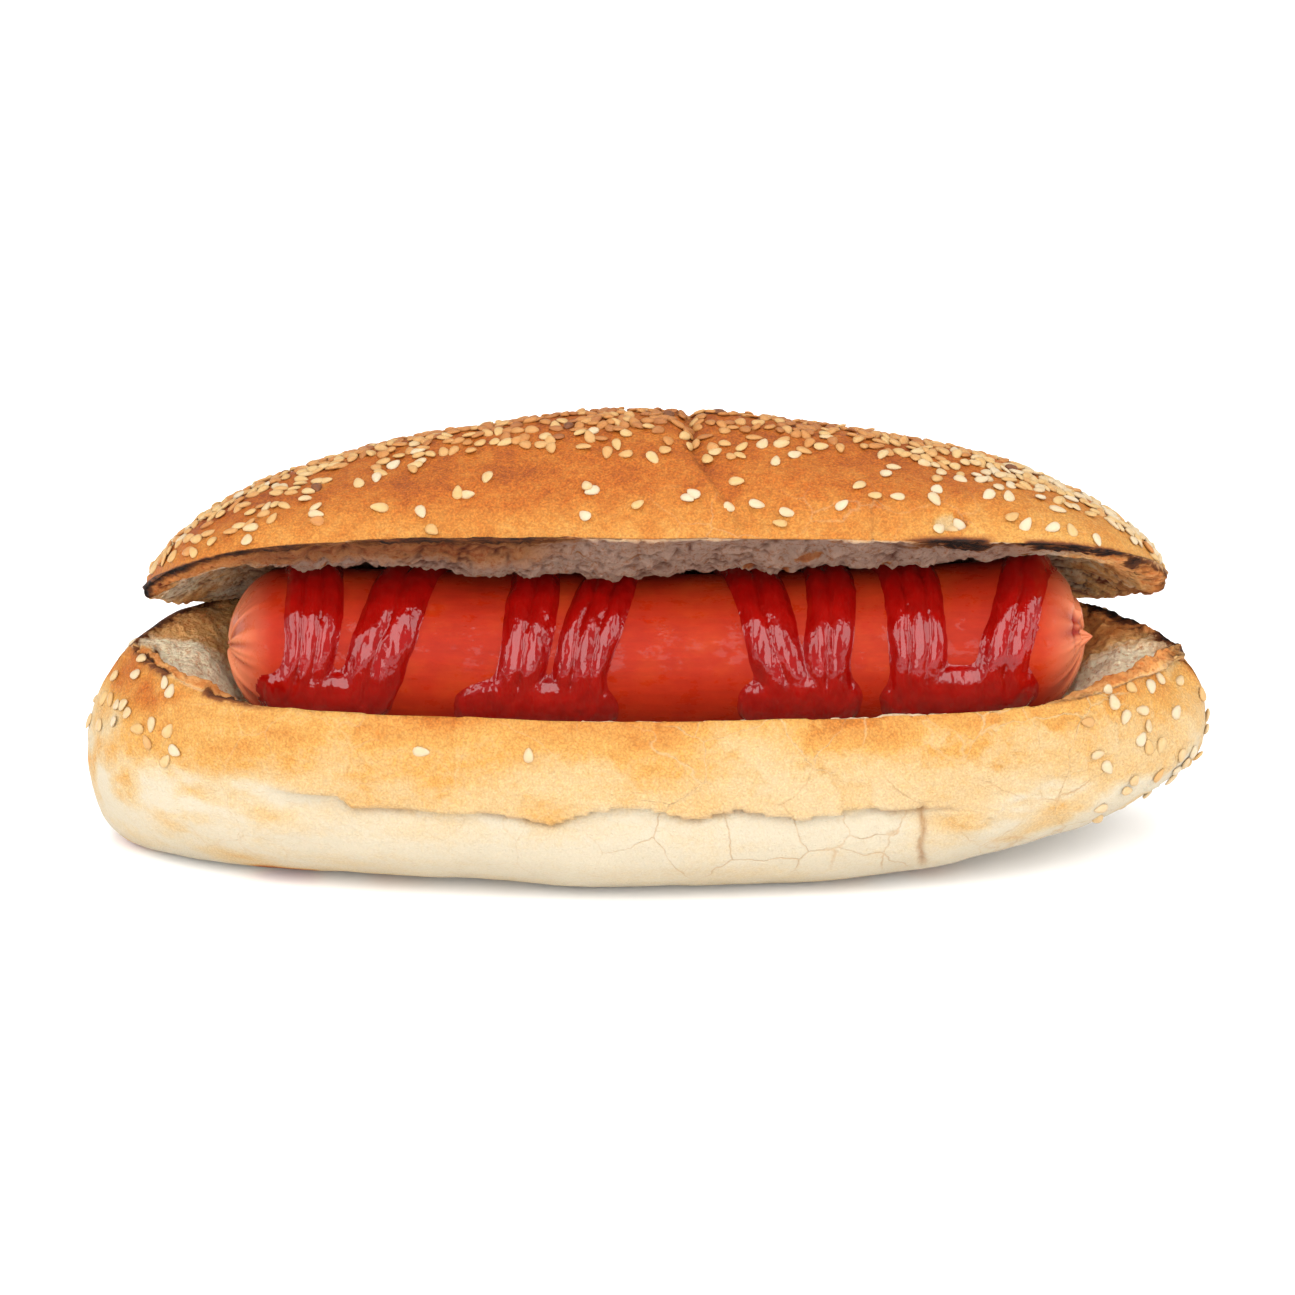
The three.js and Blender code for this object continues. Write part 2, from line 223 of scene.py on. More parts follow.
def vertex_normals(vertices, faces):
    across = face_normals(vertices, faces)
    total = stacked(*(spread_to_points(across[:, axis], faces, len(vertices)) for axis in range(3)))
    return total / np.maximum(np.linalg.norm(total, axis=1, keepdims=True), 1e-9)


def vertex_areas(vertices, faces):
    return spread_to_points(np.linalg.norm(face_normals(vertices, faces), axis=1), faces, len(vertices))


def facing_out(vertices, faces):
    """The faces, turned round if the closed mesh is inside out."""
    volume = np.einsum("ij,ij->", vertices[faces[:, 0]], face_normals(vertices, faces))
    return faces if volume > 0 else faces[:, ::-1]


def add_object(name, data):
    made = bpy.data.objects.new(name, data)
    bpy.context.scene.collection.objects.link(made)
    return made


def make_object(name, vertices, faces, masks, material):
    """A smooth mesh object from points in mm in the roll's frame, with a float attribute for each mask."""
    mesh = bpy.data.meshes.new(name)
    mesh.vertices.add(len(vertices))
    mesh.vertices.foreach_set("co", ((vertices - BASE_MIDDLE) * MM).astype(np.float32).ravel())
    mesh.loops.add(3 * len(faces))
    mesh.loops.foreach_set("vertex_index", faces.astype(np.int32).ravel())
    mesh.polygons.add(len(faces))
    mesh.polygons.foreach_set("loop_start", np.arange(0, 3 * len(faces), 3, dtype=np.int32))
    mesh.polygons.foreach_set("use_smooth", np.ones(len(faces), bool))
    mesh.update(calc_edges=True)
    for mask, values in masks.items():
        attribute = mesh.attributes.new(mask, "FLOAT", "POINT")
        attribute.data.foreach_set("value", np.asarray(values, np.float32))
    mesh.materials.append(material)
    return add_object(name, mesh)


# The roll's plain form


def outline_width(u, fullness, power):
    return positive(1 - np.abs(u) ** fullness) ** power


def lower_crust(t, depth, side):
    """Points of the lower crust: t along the roll from -1 to 1, depth from rim (0) to underside (1)."""
    angle = lerp(CUT_ANGLE, -math.pi / 2, depth)
    c, s = positive(np.cos(angle)), np.sin(angle)
    u = np.sin(math.pi / 2 * t)
    above = angle >= 0
    near_rim = np.clip(angle / CUT_ANGLE, 0, 1)
    inward = c**0.7
    reach = np.where(
        above,
        ROLL_REACH * np.where(t < 0, c, c**0.62),
        lerp(at_end(FLAT_REACH, t), ROLL_REACH, inward),
    )
    width = ROLL_HALF_WIDTH * np.where(above, c, inward)
    fullness = lerp(BULGE_FULLNESS, at_end(LOWER_RIM_FULLNESS, t), near_rim)
    outline = outline_width(u, fullness, lerp(WIDE_POWER, LOWER_RIM_POWER, near_rim))
    belly_height = positive(BULGE_HEIGHT - (BULGE_HEIGHT + FLAT_SINK) * positive(-s) ** 0.8)
    z = np.where(above, BULGE_HEIGHT + SPAN_ABOVE_BULGE * s, belly_height)
    x = reach * u
    belly = np.where(side < 0, BELLY * bell(x + 8, 28) * width / ROLL_HALF_WIDTH, 0)
    y = side * (width + belly) * outline
    past = positive(x - 34)
    turned_up = TURN_UP * past * past / (past + 20) * (1 - z / CUT_HEIGHT)
    dip = rim_dip(x, y) * smoothstep(z, BULGE_HEIGHT, CUT_HEIGHT)
    return stacked(x, y, z + turned_up - dip)


def rim_dip(x, y):
    return RIM_DIP * bell(x, RIM_DIP_REACH) * np.clip(-y / 30, 0, 1)


def lower_crumb(t, across):
    """Points of the lower cut face, from its front rim (0) to its back (1), with the link's trough."""
    front = lower_crust(t, 0 * t, -1 + 0 * t)
    back = lower_crust(t, 0 * t, 1 + 0 * t)
    x = front[..., 0]
    y = lerp(front[..., 1], back[..., 1], across)
    level = lerp(front[..., 2], back[..., 2], across)
    wide = (front[..., 1] < LINK_Y) & (back[..., 1] > LINK_Y)
    ahead = (LINK_Y - y) / np.where(wide, LINK_Y - front[..., 1], 1)
    behind = (y - LINK_Y) / np.where(wide, back[..., 1] - LINK_Y, 1)
    share = np.clip(np.where(y < LINK_Y, ahead, behind), 0, 1)
    full = CUT_HEIGHT - link_height(x) + LINK_RADIUS + 0.5
    kept = smoothstep(x, LINK_LEFT - 8, LINK_LEFT + 9) * (1 - smoothstep(x, LINK_RIGHT - 9, LINK_RIGHT + 8))
    pressed = np.where(wide, lerp(1.5, full, kept) * (1 - share**1.5), 0)
    return stacked(x, y, level - pressed)


def upper_reach(x, lift):
    return at_end(CUT_REACH, x) * positive(1 - lift**1.82) ** 0.556


def upper_half_width(x, lift):
    sine = CUT_SINE + (1 - CUT_SINE) * lift
    blend = smoothstep(lift, 0, 0.6)
    u = np.minimum(1, np.abs(x) / np.maximum(upper_reach(x, lift), 1e-6))
    fullness = lerp(at_end(UPPER_RIM_FULLNESS, x), CROWN_FULLNESS, blend)
    power = lerp(at_end(UPPER_RIM_POWER, x), WIDE_POWER, blend)
    return ROLL_HALF_WIDTH * np.sqrt(positive(1 - sine * sine)) * outline_width(u, fullness, power)


def upper_crust(t, rise, side):
    """Points of the closed upper crust, with rise from the rim (0) to the crown (1)."""
    lift = np.sin(math.pi / 2 * rise)
    x = upper_reach(t, lift) * np.sin(math.pi / 2 * t)
    return stacked(x, side * upper_half_width(x, lift), CUT_HEIGHT + CROWN_HEIGHT * lift)


def upper_crumb(t, across):
    """Points of the closed upper cut face, with the torn lip in front and the groove over the link."""
    x = upper_reach(t, 0 * t) * np.sin(math.pi / 2 * t)
    width = upper_half_width(x, 0 * x)
    y = lerp(-width, width, across)
    inside = smoothstep(width - np.abs(y), 0, 7)
    lip = TORN_LIP_HANG * bell(y - TORN_LIP_Y, TORN_LIP_WIDTH) * bell(x + 8, TORN_LIP_REACH)
    over_link = 1 - smoothstep(np.abs(x), 82, 100)
    groove = (GROOVE_DEPTH + 0.9 * (link_height(x) - LINK_HEIGHT)) * bell(y - 2, 15) * over_link
    end_bulge = 1.5 * smoothstep(np.abs(x), 80, 98)
    return stacked(x, y, CUT_HEIGHT + (groove - lip - end_bulge) * inside)


def opened(points):
    """The top half's points, swung open about the hinge along its back."""
    x, y, z = points.T
    hinge = HINGE_Y - at_end(HINGE_DRIFT, x) * (x / at_end(CUT_REACH, x)) ** 4
    dy, dz = y - hinge, z - CUT_HEIGHT
    cos, sin = math.cos(OPENING), math.sin(OPENING)
    return stacked(x, hinge + dy * cos + dz * sin, CUT_HEIGHT - dy * sin + dz * cos)


def stations(count):
    """Places along the roll from -1 to 1, closer together towards its ends."""
    even = np.linspace(-1, 1, count)
    return (even + np.arcsin(even) / (math.pi / 2)) / 2


def half_grid(crust, crumb, columns, front_rows, back_rows, crumb_rows):
    """One half of the roll: points, faces, and each crumb point's distance from the rim, or -1 on crust."""
    t = stations(columns)[:, None]
    turn = np.concatenate([np.linspace(-1, 0, front_rows), np.linspace(0, 1, back_rows)[1:]])[None, :]
    outside = crust(t + 0 * turn, 1 - np.abs(turn) + 0 * t, np.where(turn < 0, -1, 1) + 0 * t)
    across = np.linspace(1, 0, crumb_rows)[None, 1:-1]
    inside = crumb(t + 0 * across, across + 0 * t)
    x, y = inside[..., 0], inside[..., 1]
    reach = np.where(x < 0, -x.min(), x.max())
    room = np.minimum(y - outside[:, :1, 1], outside[:, -1:, 1] - y)
    room = positive(np.minimum(room, 1.3 * (reach - np.abs(x))))
    points = np.concatenate([outside, inside], axis=1)
    room = np.concatenate([np.full(outside.shape[:2], -1.0), room], axis=1).reshape(-1)
    ring = points.shape[1]
    vertices = points.reshape(-1, 3)
    keep, faces = welded(vertices, tube_faces(columns, ring))
    vertices, room = vertices[keep], room[keep]
    return vertices, facing_out(vertices, faces), room


# The roll's relief and browning

# Sizes of the crumb's puffs in mm, with the share of each.
PUFFS = ((3.6, 0.4), (1.8, 0.3), (1.0, 0.3))


def torn_crumb(points, seed):
    """The height of fluffy torn crumb in mm, and how deep in its pores each point lies from 0 to 1, which
    sets the painted shade in the pores.
    """
    clumps = layered(points, 8, 2, seed)
    warped = points + 0.8 * stacked(*(noise(points, 3, seed + 2 + k) for k in range(3)))
    puffs = sum(share * np.abs(noise(warped, size, seed + 7)) for size, share in PUFFS)
    return clumps + 1.7 * (puffs - 0.3), np.clip(0.9 - 3 * puffs - 0.4 * clumps, 0, 1)


def lower_crust_look(vertices, front):
    """The lower crust's relief in mm, and its masks."""
    x, y, z = vertices.T
    swell = 0.8 * noise(vertices, 42, 3) + 0.4 * noise(vertices, 15, 4) + 0.14 * noise(vertices, 5, 5)
    crease = np.interp(x, *zip(*CREASE)) + 0.6 * layered(vertices, 6, 3, 7)
    crease = np.where(y < 0, crease, np.interp(-x, *zip(*CREASE)) - 1)
    over = z - crease
    kept = smoothstep(x, -78, -66) * (1 - smoothstep(x, 48, 66)) * np.where(y < 0, 1, 0.6)
    step = np.where(over > 0, 1.3 * np.exp(-over / 5), -np.exp(over / 4)) * kept
    slot = bell(over, 0.6) * kept * smoothstep(noise(along(x), 13, 8), -0.7, 0.2)
    deep = bell(x - DEEP_CRACK_X + 0.8 * layered(vertices, 4, 3, 12), 0.55) * front
    deep = deep * smoothstep(z, 4, 9) * (1 - smoothstep(z, 21, 24))
    craze = lerp(0.35, 1, smoothstep(x, -30, 10)) * smoothstep(z, 5, 9)
    craze = craze * (1 - smoothstep(np.abs(x), 90, 102))
    folds = lerp(0.35, 0.8, smoothstep(x, 60, 90)) * layered(vertices * (0.5, 1, 1), 9, 4, 13)
    flakes = smoothstep(layered(vertices, 16, 5, 17), 0.05, 0.1)
    flakes = flakes * smoothstep(z, 12, 18) * lerp(0.6, 1, smoothstep(x, 10, 40))
    relief = swell + folds + step - 0.9 * slot - 0.9 * deep + 0.45 * flakes - 1.2 * smoothstep(x, 80, 108)

    grain = layered(vertices * (0.3, 1, 1), 6, 5, 23)
    golden = smoothstep(over, -1.5, 1.5) * kept + smoothstep(z + 16 * grain, 11, 27) * (1 - kept)
    underside = (1 - smoothstep(z, 1.4, 4.4)) * smoothstep(np.abs(x + 5), 30, 70)
    bake = 0.06 + 0.41 * golden + 0.22 * smoothstep(z, 28, 39) - 0.09 * flakes
    bake += 0.02 * smoothstep(-x, 40, 80) * smoothstep(z, 22, 34) - 0.06 * smoothstep(x, 60, 100)
    bake += 0.9 * underside * smoothstep(noise(vertices, 12, 19), -0.6, 0.2)
    bake += 0.12 * layered(vertices, 20, 4, 21) + lerp(0.3, 0.2, smoothstep(x, -60, -30)) * grain
    # slot and deep are recessed in the relief, and crack also darkens them as painted shade.
    return relief, {"bake": bake, "crack": 0.7 * slot + deep, "craze": craze}


def lower_crumb_look(vertices, room, front, streaks):
    """The lower cut face's relief in mm, and its masks."""
    x, y, _ = vertices.T
    ends = smoothstep(np.abs(x), 68, 86)
    # pores sets the painted shade in the pores; the lower cut face takes a quarter of it.
    fluff, pores = torn_crumb(vertices, 31)
    ledge = (1.5 * bell(room - 3.8, 2.8) - 1.3 * bell(room - 8, 1.4)) * ends * front
    toast = ends * (0.85 * (1 - smoothstep(room, 5, 8)) * front + 0.3 * streaks)
    toast = toast + ends * smoothstep(y, 0, 12) * np.where(x < 0, 0.6, 1.0)
    # shade is 0 here: the lower cut face has no painted shade.
    return lerp(0.7, 1.1, ends) * fluff + ledge, {"toast": toast, "pore": 0.25 * pores, "shade": 0 * x}


def lower_burn(vertices, room, front, streaks):
    """The burnt lines in front of the lower half's ends, and the burnt patches behind them."""
    x, y, z = vertices.T
    below_rim = positive(CUT_HEIGHT - rim_dip(x, y) - z)
    inner_lines = 0.6 * bell(room - 0.6, 0.6) + 0.6 * bell(room - 7, 0.9)
    lines = np.where(room < 0, 0.4 * bell(below_rim, 0.6), inner_lines) * front
    left = smoothstep(-x, 68, 74) * smoothstep(noise(along(x), 7, 41), -0.3, 0.3)
    right = 0.6 * smoothstep(x, 72, 86) * smoothstep(noise(along(x), 7, 42), -0.4, 0.3)
    behind = (1 - front) * np.exp(-np.where(room < 0, below_rim, room) / 3)
    left_patch = smoothstep(-x, 70, 84) * (0.55 + 0.4 * streaks)
    right_patch = 1.5 * smoothstep(x, 80, 92) * smoothstep(layered(vertices, 3, 3, 43), -0.5, 0.1)
    return lines * (left + right) + behind * (left_patch + right_patch)


def upper_crust_look(vertices, front):
    """The closed upper crust's relief in mm, and its masks."""
    x, _, z = vertices.T
    above_rim = z - CUT_HEIGHT
    lift = above_rim / CROWN_HEIGHT
    swell = 0.7 * noise(vertices, 38, 53) + 0.3 * noise(vertices, 12, 54) + 0.12 * noise(vertices, 4, 55)
    fold_x = lerp(FOLD_X_AT_RIM, FOLD_X_ABOVE, smoothstep(lift, 0, 0.75))
    past_fold = x - fold_x + 0.9 * layered(vertices, 5, 3, 57)
    fold = 1.7 * bell(past_fold, 1.9) * smoothstep(lift, 0.35, 0.95)
    step = 0.9 * smoothstep(past_fold, -0.3, 0.3) * np.exp(-positive(past_fold) / 8) * front
    step = step * (1 - smoothstep(lift, 0.8, 0.95)) * smoothstep(lift, 0.06, 0.14)
    split = bell(x - SPLIT_X - 0.5 * layered(vertices, 3, 3, 58), 0.4) * front
    split = split * (1 - smoothstep(lift, 0.2, 0.33))
    blister = bell(x - BLISTER_X, 3.6) * bell(above_rim - BLISTER_HEIGHT, 2.0) * front
    hollow = smoothstep(blister, 0.3, 0.55)
    craze = 0.4 * (1 - smoothstep(lift, 0.15, 0.5)) * smoothstep(x, -20, 20) * (1 - smoothstep(x, 80, 95))
    relief = swell - 0.5 - fold - step - 0.5 * split - 1.3 * hollow

    bake = 0.7 + 0.17 * smoothstep(lift, 0.0, 0.45) + 0.04 * smoothstep(lift, 0.5, 1)
    bake += 0.05 * layered(vertices, 18, 4, 71) + 0.09 * layered(vertices, 4, 4, 73)
    bake -= 0.1 * smoothstep(x, 50, 80) * (1 - smoothstep(lift, 0.2, 0.7))
    # The left end is browner. Just past the fold line the crust is 0.04 browner, as painted shade in the
    # fold.
    bake += 0.12 * smoothstep(-x, 60, 95) + 0.04 * bell(past_fold - 1, 2) * smoothstep(lift, 0.3, 0.7)
    # The blister's left side is paler, a painted highlight, and its right side browner.
    bake += hollow * np.where(x < BLISTER_X + 0.5, -0.35, 0.1)
    # crack darkens the split and the fold line as painted shade.
    return relief, {"bake": bake, "crack": 0.6 * split + 0.3 * bell(past_fold, 0.4) * front, "craze": craze}


def upper_crumb_look(vertices, room, front, streaks):
    """The closed upper cut face's relief in mm, and its masks."""
    x, y, _ = vertices.T
    torn = bell(y + 21, 12) * (1 - smoothstep(np.abs(x + 4), 58, 86))
    # pores sets the painted shade in the pores.
    fluff, pores = torn_crumb(vertices, 81)
    ragged = 1.5 * layered(along(x), 9, 3, 85) + 0.8 * noise(vertices, 2, 86) + 0.4
    relief = lerp(0.8, 1.35, torn) * fluff + torn * ragged
    ends = smoothstep(np.abs(x), 72, 92)
    toast = ends * (np.where(x < 0, 0.05, 0.45) + 0.4 * bell(room - 3, 4) + 0.4 * streaks)
    left_band = smoothstep(-x, 8, 34) * bell(room - 6, 5) * front
    toast = toast + 0.75 * left_band + 0.3 * (1 - torn) * smoothstep(layered(vertices, 14, 3, 89), 0, 0.5)
    flecks = torn * smoothstep(noise(vertices * (0.6, 1, 1), 2, 88), 0.7, 0.85)
    # shade tints the upper cut face darker as painted shade for the shade it lies in, less at the roll's
    # ends.
    return relief, {"toast": toast + flecks, "pore": pores, "shade": 1 - 0.8 * ends}


def upper_burn(vertices, room, front, streaks):
    """The burnt lines along the upper rim, its charred stretch at the right and its burnt tips."""
    x, _, z = vertices.T
    above_rim = z - CUT_HEIGHT
    in_crumb = room >= 0
    left = smoothstep(-x, 8, 24) * smoothstep(layered(along(x), 10, 3, 91), -0.75, -0.2)
    left = left * np.where(in_crumb, 0.7 * bell(room - 1.2, 2.2), 0.5 * bell(above_rim, 0.4))
    middle = 0.5 * bell(x - 2, 32) * bell(np.where(in_crumb, room, above_rim), 0.35)
    char = 1.1 * smoothstep(x, 47, 60) * (1 - smoothstep(x, 92, 101))
    char = char * smoothstep(layered(vertices * (0.5, 1, 1), 5, 4, 93), -0.5, 0.15)
    char = char * np.where(in_crumb, 1 - smoothstep(room + 9 * streaks, 4, 9), np.exp(-above_rim / 0.5))
    tips = 0.35 * bell(room - 1.2, 1.2) + np.where(x < 0, 0.15, 0.35) * positive(streaks)
    return (left + middle + char) * front + tips * smoothstep(np.abs(x), 80, 98) * in_crumb


def dress(form, front, streaks, crust_look, crumb_look, burn_look):
    """A half's points moved out to its relief, and its masks, each kept to the crust or to the crumb."""
    vertices, faces, room = form
    crust, crust_masks = crust_look(vertices, front)
    crumb, crumb_masks = crumb_look(vertices, room, front, streaks)
    masks = {**crust_masks, **crumb_masks, "burn": burn_look(vertices, room, front, streaks)}
    inside = smoothstep(room, 0, 1.2)
    moved = vertices + vertex_normals(vertices, faces) * lerp(crust, crumb, inside)[:, None]
    parts = {"crack": 1 - inside, "craze": 1 - inside, "toast": inside, "pore": inside, "shade": inside}
    masks = {name: np.clip(values, 0, 1) * parts.get(name, 1) for name, values in masks.items()}
    return moved, {**masks, "crumb": inside}


def dress_lower(form):
    vertices = form[0]
    front = 1 - smoothstep(vertices[:, 1], -4, 4)
    streaks = layered(vertices * (0.25, 1, 1), 2, 3, 35)
    moved, masks = dress(form, front, streaks, lower_crust_look, lower_crumb_look, lower_burn)
    moved[:, 2] = positive(moved[:, 2])
    return moved, masks


def dress_upper(form):
    vertices = form[0]
    x = vertices[:, 0]
    front = np.where(vertices[:, 1] < 0, 1.0, 0.0)
    streaks = layered(vertices * (0.25, 1, 1), 2.2, 3, 87)
    moved, masks = dress(form, front, streaks, upper_crust_look, upper_crumb_look, upper_burn)
    moved[:, 0] -= 1.3 * np.sign(x) * smoothstep(np.abs(x), 60, 103)
    return moved, masks


# Sesame seeds

SEED_DRAWS = 7
TOP_SEEDS = 1500
TOP_SEED_SPACING = 1.3
END_SEEDS = 110
END_SEED_SPACING = 2.4
DARK_SEED_SHARE = 0.015
DARK_SEED_TONE = 0.96
SEED_TILT = 0.16
SEED_LIFT = (0.1, 0.35)
# Half of a seed's length, width and thickness, each with its spread.
SEED_SIZE = ((1.62, 0.13), (1.06, 0.09), (0.5, 0.06))
# Places (x, z) of the two seeds alone on the front of the lower half.
STRAY_SEEDS = ((-44.2, 34), (-23.4, 34))


def seed_form(around=12, rings=5):
    """One teardrop seed, 2 long from tip to tip before it is scaled, with its flat side down."""
    turn = np.linspace(0, 2 * math.pi, around, endpoint=False)
    points = [[0, 0, 1]]
    for ring in range(1, rings):
        tilt = math.pi * ring / rings
        flat = math.sin(tilt) ** 0.8
        height = math.cos(tilt) * (1 if ring < rings / 2 else 0.6)
        points += [[flat * math.cos(a), flat * math.sin(a) * (1 - 0.34 * math.cos(a)), height] for a in turn]
    points.append([0, 0, -0.6])
    last = len(points) - 1
    faces = []
    for a in range(around):
        b = (a + 1) % around
        faces.append([0, 1 + a, 1 + b])
        for ring in range(rings - 2):
            start = 1 + ring * around
            faces.append([start + a, start + around + a, start + around + b])
            faces.append([start + a, start + around + b, start + b])
        start = 1 + (rings - 2) * around
        faces.append([start + a, last, start + b])
    return np.array(points, float), np.array(faces)


def pick_spots(vertices, density, count, spacing, rng):
    """Points drawn by density, none nearer to another than the spacing."""
    order = rng.choice(len(vertices), size=count * 10, replace=False, p=density / density.sum())
    chosen = []
    for candidate in order:
        away = np.linalg.norm(vertices[chosen] - vertices[candidate], axis=1) if chosen else np.array([99.0])
        if away.min() > spacing:
            chosen.append(candidate)
        if len(chosen) == count:
            break
    return chosen


def lay_seeds(spots, normals, tones, rng):
    """The joined mesh of one seed on each spot, with a tone for each of its points."""
    form, form_faces = seed_form()
    points, faces, tone = [], [], []
    for n, (spot, normal) in enumerate(zip(spots, normals)):
        normal = normal + rng.normal(0, SEED_TILT, 3)
        normal /= np.linalg.norm(normal)
        lengthwise = np.cross(normal, rng.normal(0, 1, 3))
        lengthwise /= np.linalg.norm(lengthwise)
        across = np.cross(normal, lengthwise)
        size = [rng.normal(middle, spread) for middle, spread in SEED_SIZE]
        turned = form * size @ np.stack([lengthwise, across, normal])
        points.append(spot + rng.uniform(*SEED_LIFT) * normal + turned)
        faces.append(form_faces + n * len(form))
        tone.append(np.full(len(form), tones[n]))
    return np.concatenate(points), np.concatenate(faces), np.concatenate(tone)


# The frankfurter

# Columns along a piece and points round it, and the share of the casing's columns at each end.
LINK_GRID = (300, 190)
CAP_SHARE = 0.17
NUB_GRID = (40, 48)
NUB_RADIUS = 5.6
NUB_ROOT = 7.2
NUB_LENGTH = 7.9


def link_height(x):
    share = np.where(x < 0, x / LINK_LEFT, x / LINK_RIGHT)
    return LINK_HEIGHT + at_end(LINK_RISE, x) * share * share


def around_link(x, angle, radius):
    """Points round the frankfurter's middle line: angle 0 in front, a quarter turn on top."""
    return stacked(x, LINK_Y - radius * np.cos(angle), link_height(x) + radius * np.sin(angle))


def unrolled_link(x, angle):
    return stacked(LINK_RADIUS * np.cos(angle), LINK_RADIUS * np.sin(angle), x)


def link_lumps(x, angle):
    unrolled = unrolled_link(x, angle)
    return 0.25 * noise(unrolled, 24, 103) + 0.12 * noise(unrolled, 8, 104)


def build_link():
    """The casing, with its left end gathered into fine folds and its right one pinched along a seam."""
    columns, ring = LINK_GRID
    v = np.linspace(0, 1, columns)[:, None]
    angle = np.linspace(-math.pi / 2, 3 * math.pi / 2, ring, endpoint=False)[None, :] + 0 * v
    left, right = np.clip(1 - v / CAP_SHARE, 0, 1), np.clip(1 - (1 - v) / CAP_SHARE, 0, 1)
    bend = math.pi / 2 * np.maximum(left, right) + 0 * angle
    at_right = np.where(right > 0, 1.0, 0.0) + 0 * angle
    barrel = np.clip((v - CAP_SHARE) / (1 - 2 * CAP_SHARE), 0, 1)
    x = lerp(LINK_LEFT + CAP_DEPTH, LINK_RIGHT - CAP_DEPTH, barrel)
    x = x + np.sin(bend) * CAP_DEPTH * np.where(left > 0, -1, 1)
    radius = LINK_RADIUS * positive(np.cos(bend)) ** 0.9
    base = around_link(x, angle, radius)
    unrolled = unrolled_link(x, angle)
    circle = stacked(np.cos(angle), np.sin(angle), 0 * angle)
    tip = smoothstep(bend, 0.2, 1.2)
    closing = 1 - smoothstep(bend, 1.48, 1.565)
    gathers = noise(9 * circle, 1.6, 101) + 0.5 * noise(9 * circle, 0.7, 102)
    coarse = noise(5 * circle, 2.2, 106)
    pucker = closing * tip * np.where(at_right > 0, 0.45 * coarse + 0.25 * gathers, 0.5 * gathers)
    on_seam = at_right * smoothstep(np.sin(angle - 0.1), -0.5, 0.3)
    seam = on_seam * (0.3 * bell(bend - 1.2, 0.08) - 0.5 * bell(bend - 1.05, 0.06))
    skin = 0.045 * layered(unrolled * (1, 1, 0.4), 2.2, 3, 105)
    pit = 0.4 * (1 - smoothstep(scattered(unrolled, 11, 107), 0.03, 0.06)) * (bend < 0.4)
    height = link_lumps(x, angle) + skin - pit + pucker + seam - tip
    facing = np.where(at_right > 0, 1, -1)
    sideways = np.cos(bend)
    outward = stacked(facing * np.sin(bend), -np.cos(angle) * sideways, np.sin(angle) * sideways)
    vertices = (base + outward * height[..., None]).reshape(-1, 3)
    keep, faces = welded(vertices, tube_faces(columns, ring))
    vertices = vertices[keep]
    masks = {
        # tip also sets the painted sheen on the ends in the casing's colour, and their lower roughness.
        "tip": tip.reshape(-1)[keep],
        # fold is painted shade in the casing's folds and in the groove beside its seam.
        "fold": np.clip(-1.6 * pucker - 0.8 * np.minimum(seam, 0), 0, 1).reshape(-1)[keep],
    }
    return vertices, facing_out(vertices, faces), masks


def build_nub():
    """The pinched end of the casing that sticks out of the right cap."""
    columns, ring = NUB_GRID
    s = np.linspace(0, 1, columns)[:, None]
    angle = np.linspace(0, 2 * math.pi, ring, endpoint=False)[None, :]
    radius = NUB_RADIUS * (1 - s) ** 0.85 * (1 + 0.14 * np.sin(7 * angle + 3 * s))
    x = LINK_RIGHT - NUB_ROOT + NUB_LENGTH * s + 0 * angle
    y = LINK_Y - 3.5 - 0.6 * s + radius * np.cos(angle)
    z = link_height(np.array(float(LINK_RIGHT))) - 1.0 + 1.6 * s + 0.9 * radius * np.sin(angle)
    points = stacked(x, y, z)
    cap = points[:1].mean(axis=1, keepdims=True) + 0 * points[:1]
    vertices = np.concatenate([cap, points], axis=0).reshape(-1, 3)
    keep, faces = welded(vertices, tube_faces(columns + 1, ring))
    vertices = vertices[keep]
    # The whole nub takes the ends' painted sheen, and a little of the painted shade of the folds.
    masks = {"tip": np.ones(len(vertices)), "fold": np.full(len(vertices), 0.15)}
    return vertices, facing_out(vertices, faces), masks


# Ketchup. Each stroke is its x at six places round the frankfurter, from over the top down to its foot.
STROKE_DEGREES = (150, 103, 55, 21, -1, -14)
STROKES = (
    (-66, -66.2, -66, -66.6, -68, -69),
    (-41, -46.2, -49.8, -52.8, -54.8, -56),
    (-24, -21.8, -23, -24.2, -25.8, -27),
    (2, -6.5, -9.8, -13, -13.8, -14),
    (14, 19.8, 22.8, 25, 27, 27),
    (35, 34.6, 35.8, 35.2, 35, 36),
    (45, 50.2, 52.2, 53.2, 52.8, 54),
    (76, 75.2, 73, 70.8, 69, 70),
)
BACK_TURNS = ((1, 2), (3, 4), (5, 6))
# Each pool's ends along the roll, and the height round the frankfurter of its lip in degrees.
POOLS = ((-76, -52.2, 6), (-37.5, -6.6, 4), (18, 41.5, 6), (46.5, 76, 5))
POOL_TALLNESS = 7.2
POOL_HEIGHT = 2.5
# The spacing of the ketchup's points, how far they go round the frankfurter, and how deep they root in it.
KETCHUP_SPACING = 0.37
KETCHUP_DEGREES = (-56, 178)
KETCHUP_ROOT = 1.6


def stroke_line(xs, samples=90):
    """A smooth line of (x, arc) points through a stroke's places, arc in mm round the frankfurter."""
    degrees = np.linspace(STROKE_DEGREES[0], STROKE_DEGREES[-1], samples)
    order = np.argsort(STROKE_DEGREES)
    knots, values = np.array(STROKE_DEGREES)[order], np.array(xs)[order]
    fit = np.polynomial.polynomial.Polynomial.fit(knots, values, 4)
    x = 0.5 * fit(degrees) + 0.5 * np.interp(degrees, knots, values)
    return stacked(x, np.radians(degrees) * LINK_RADIUS)


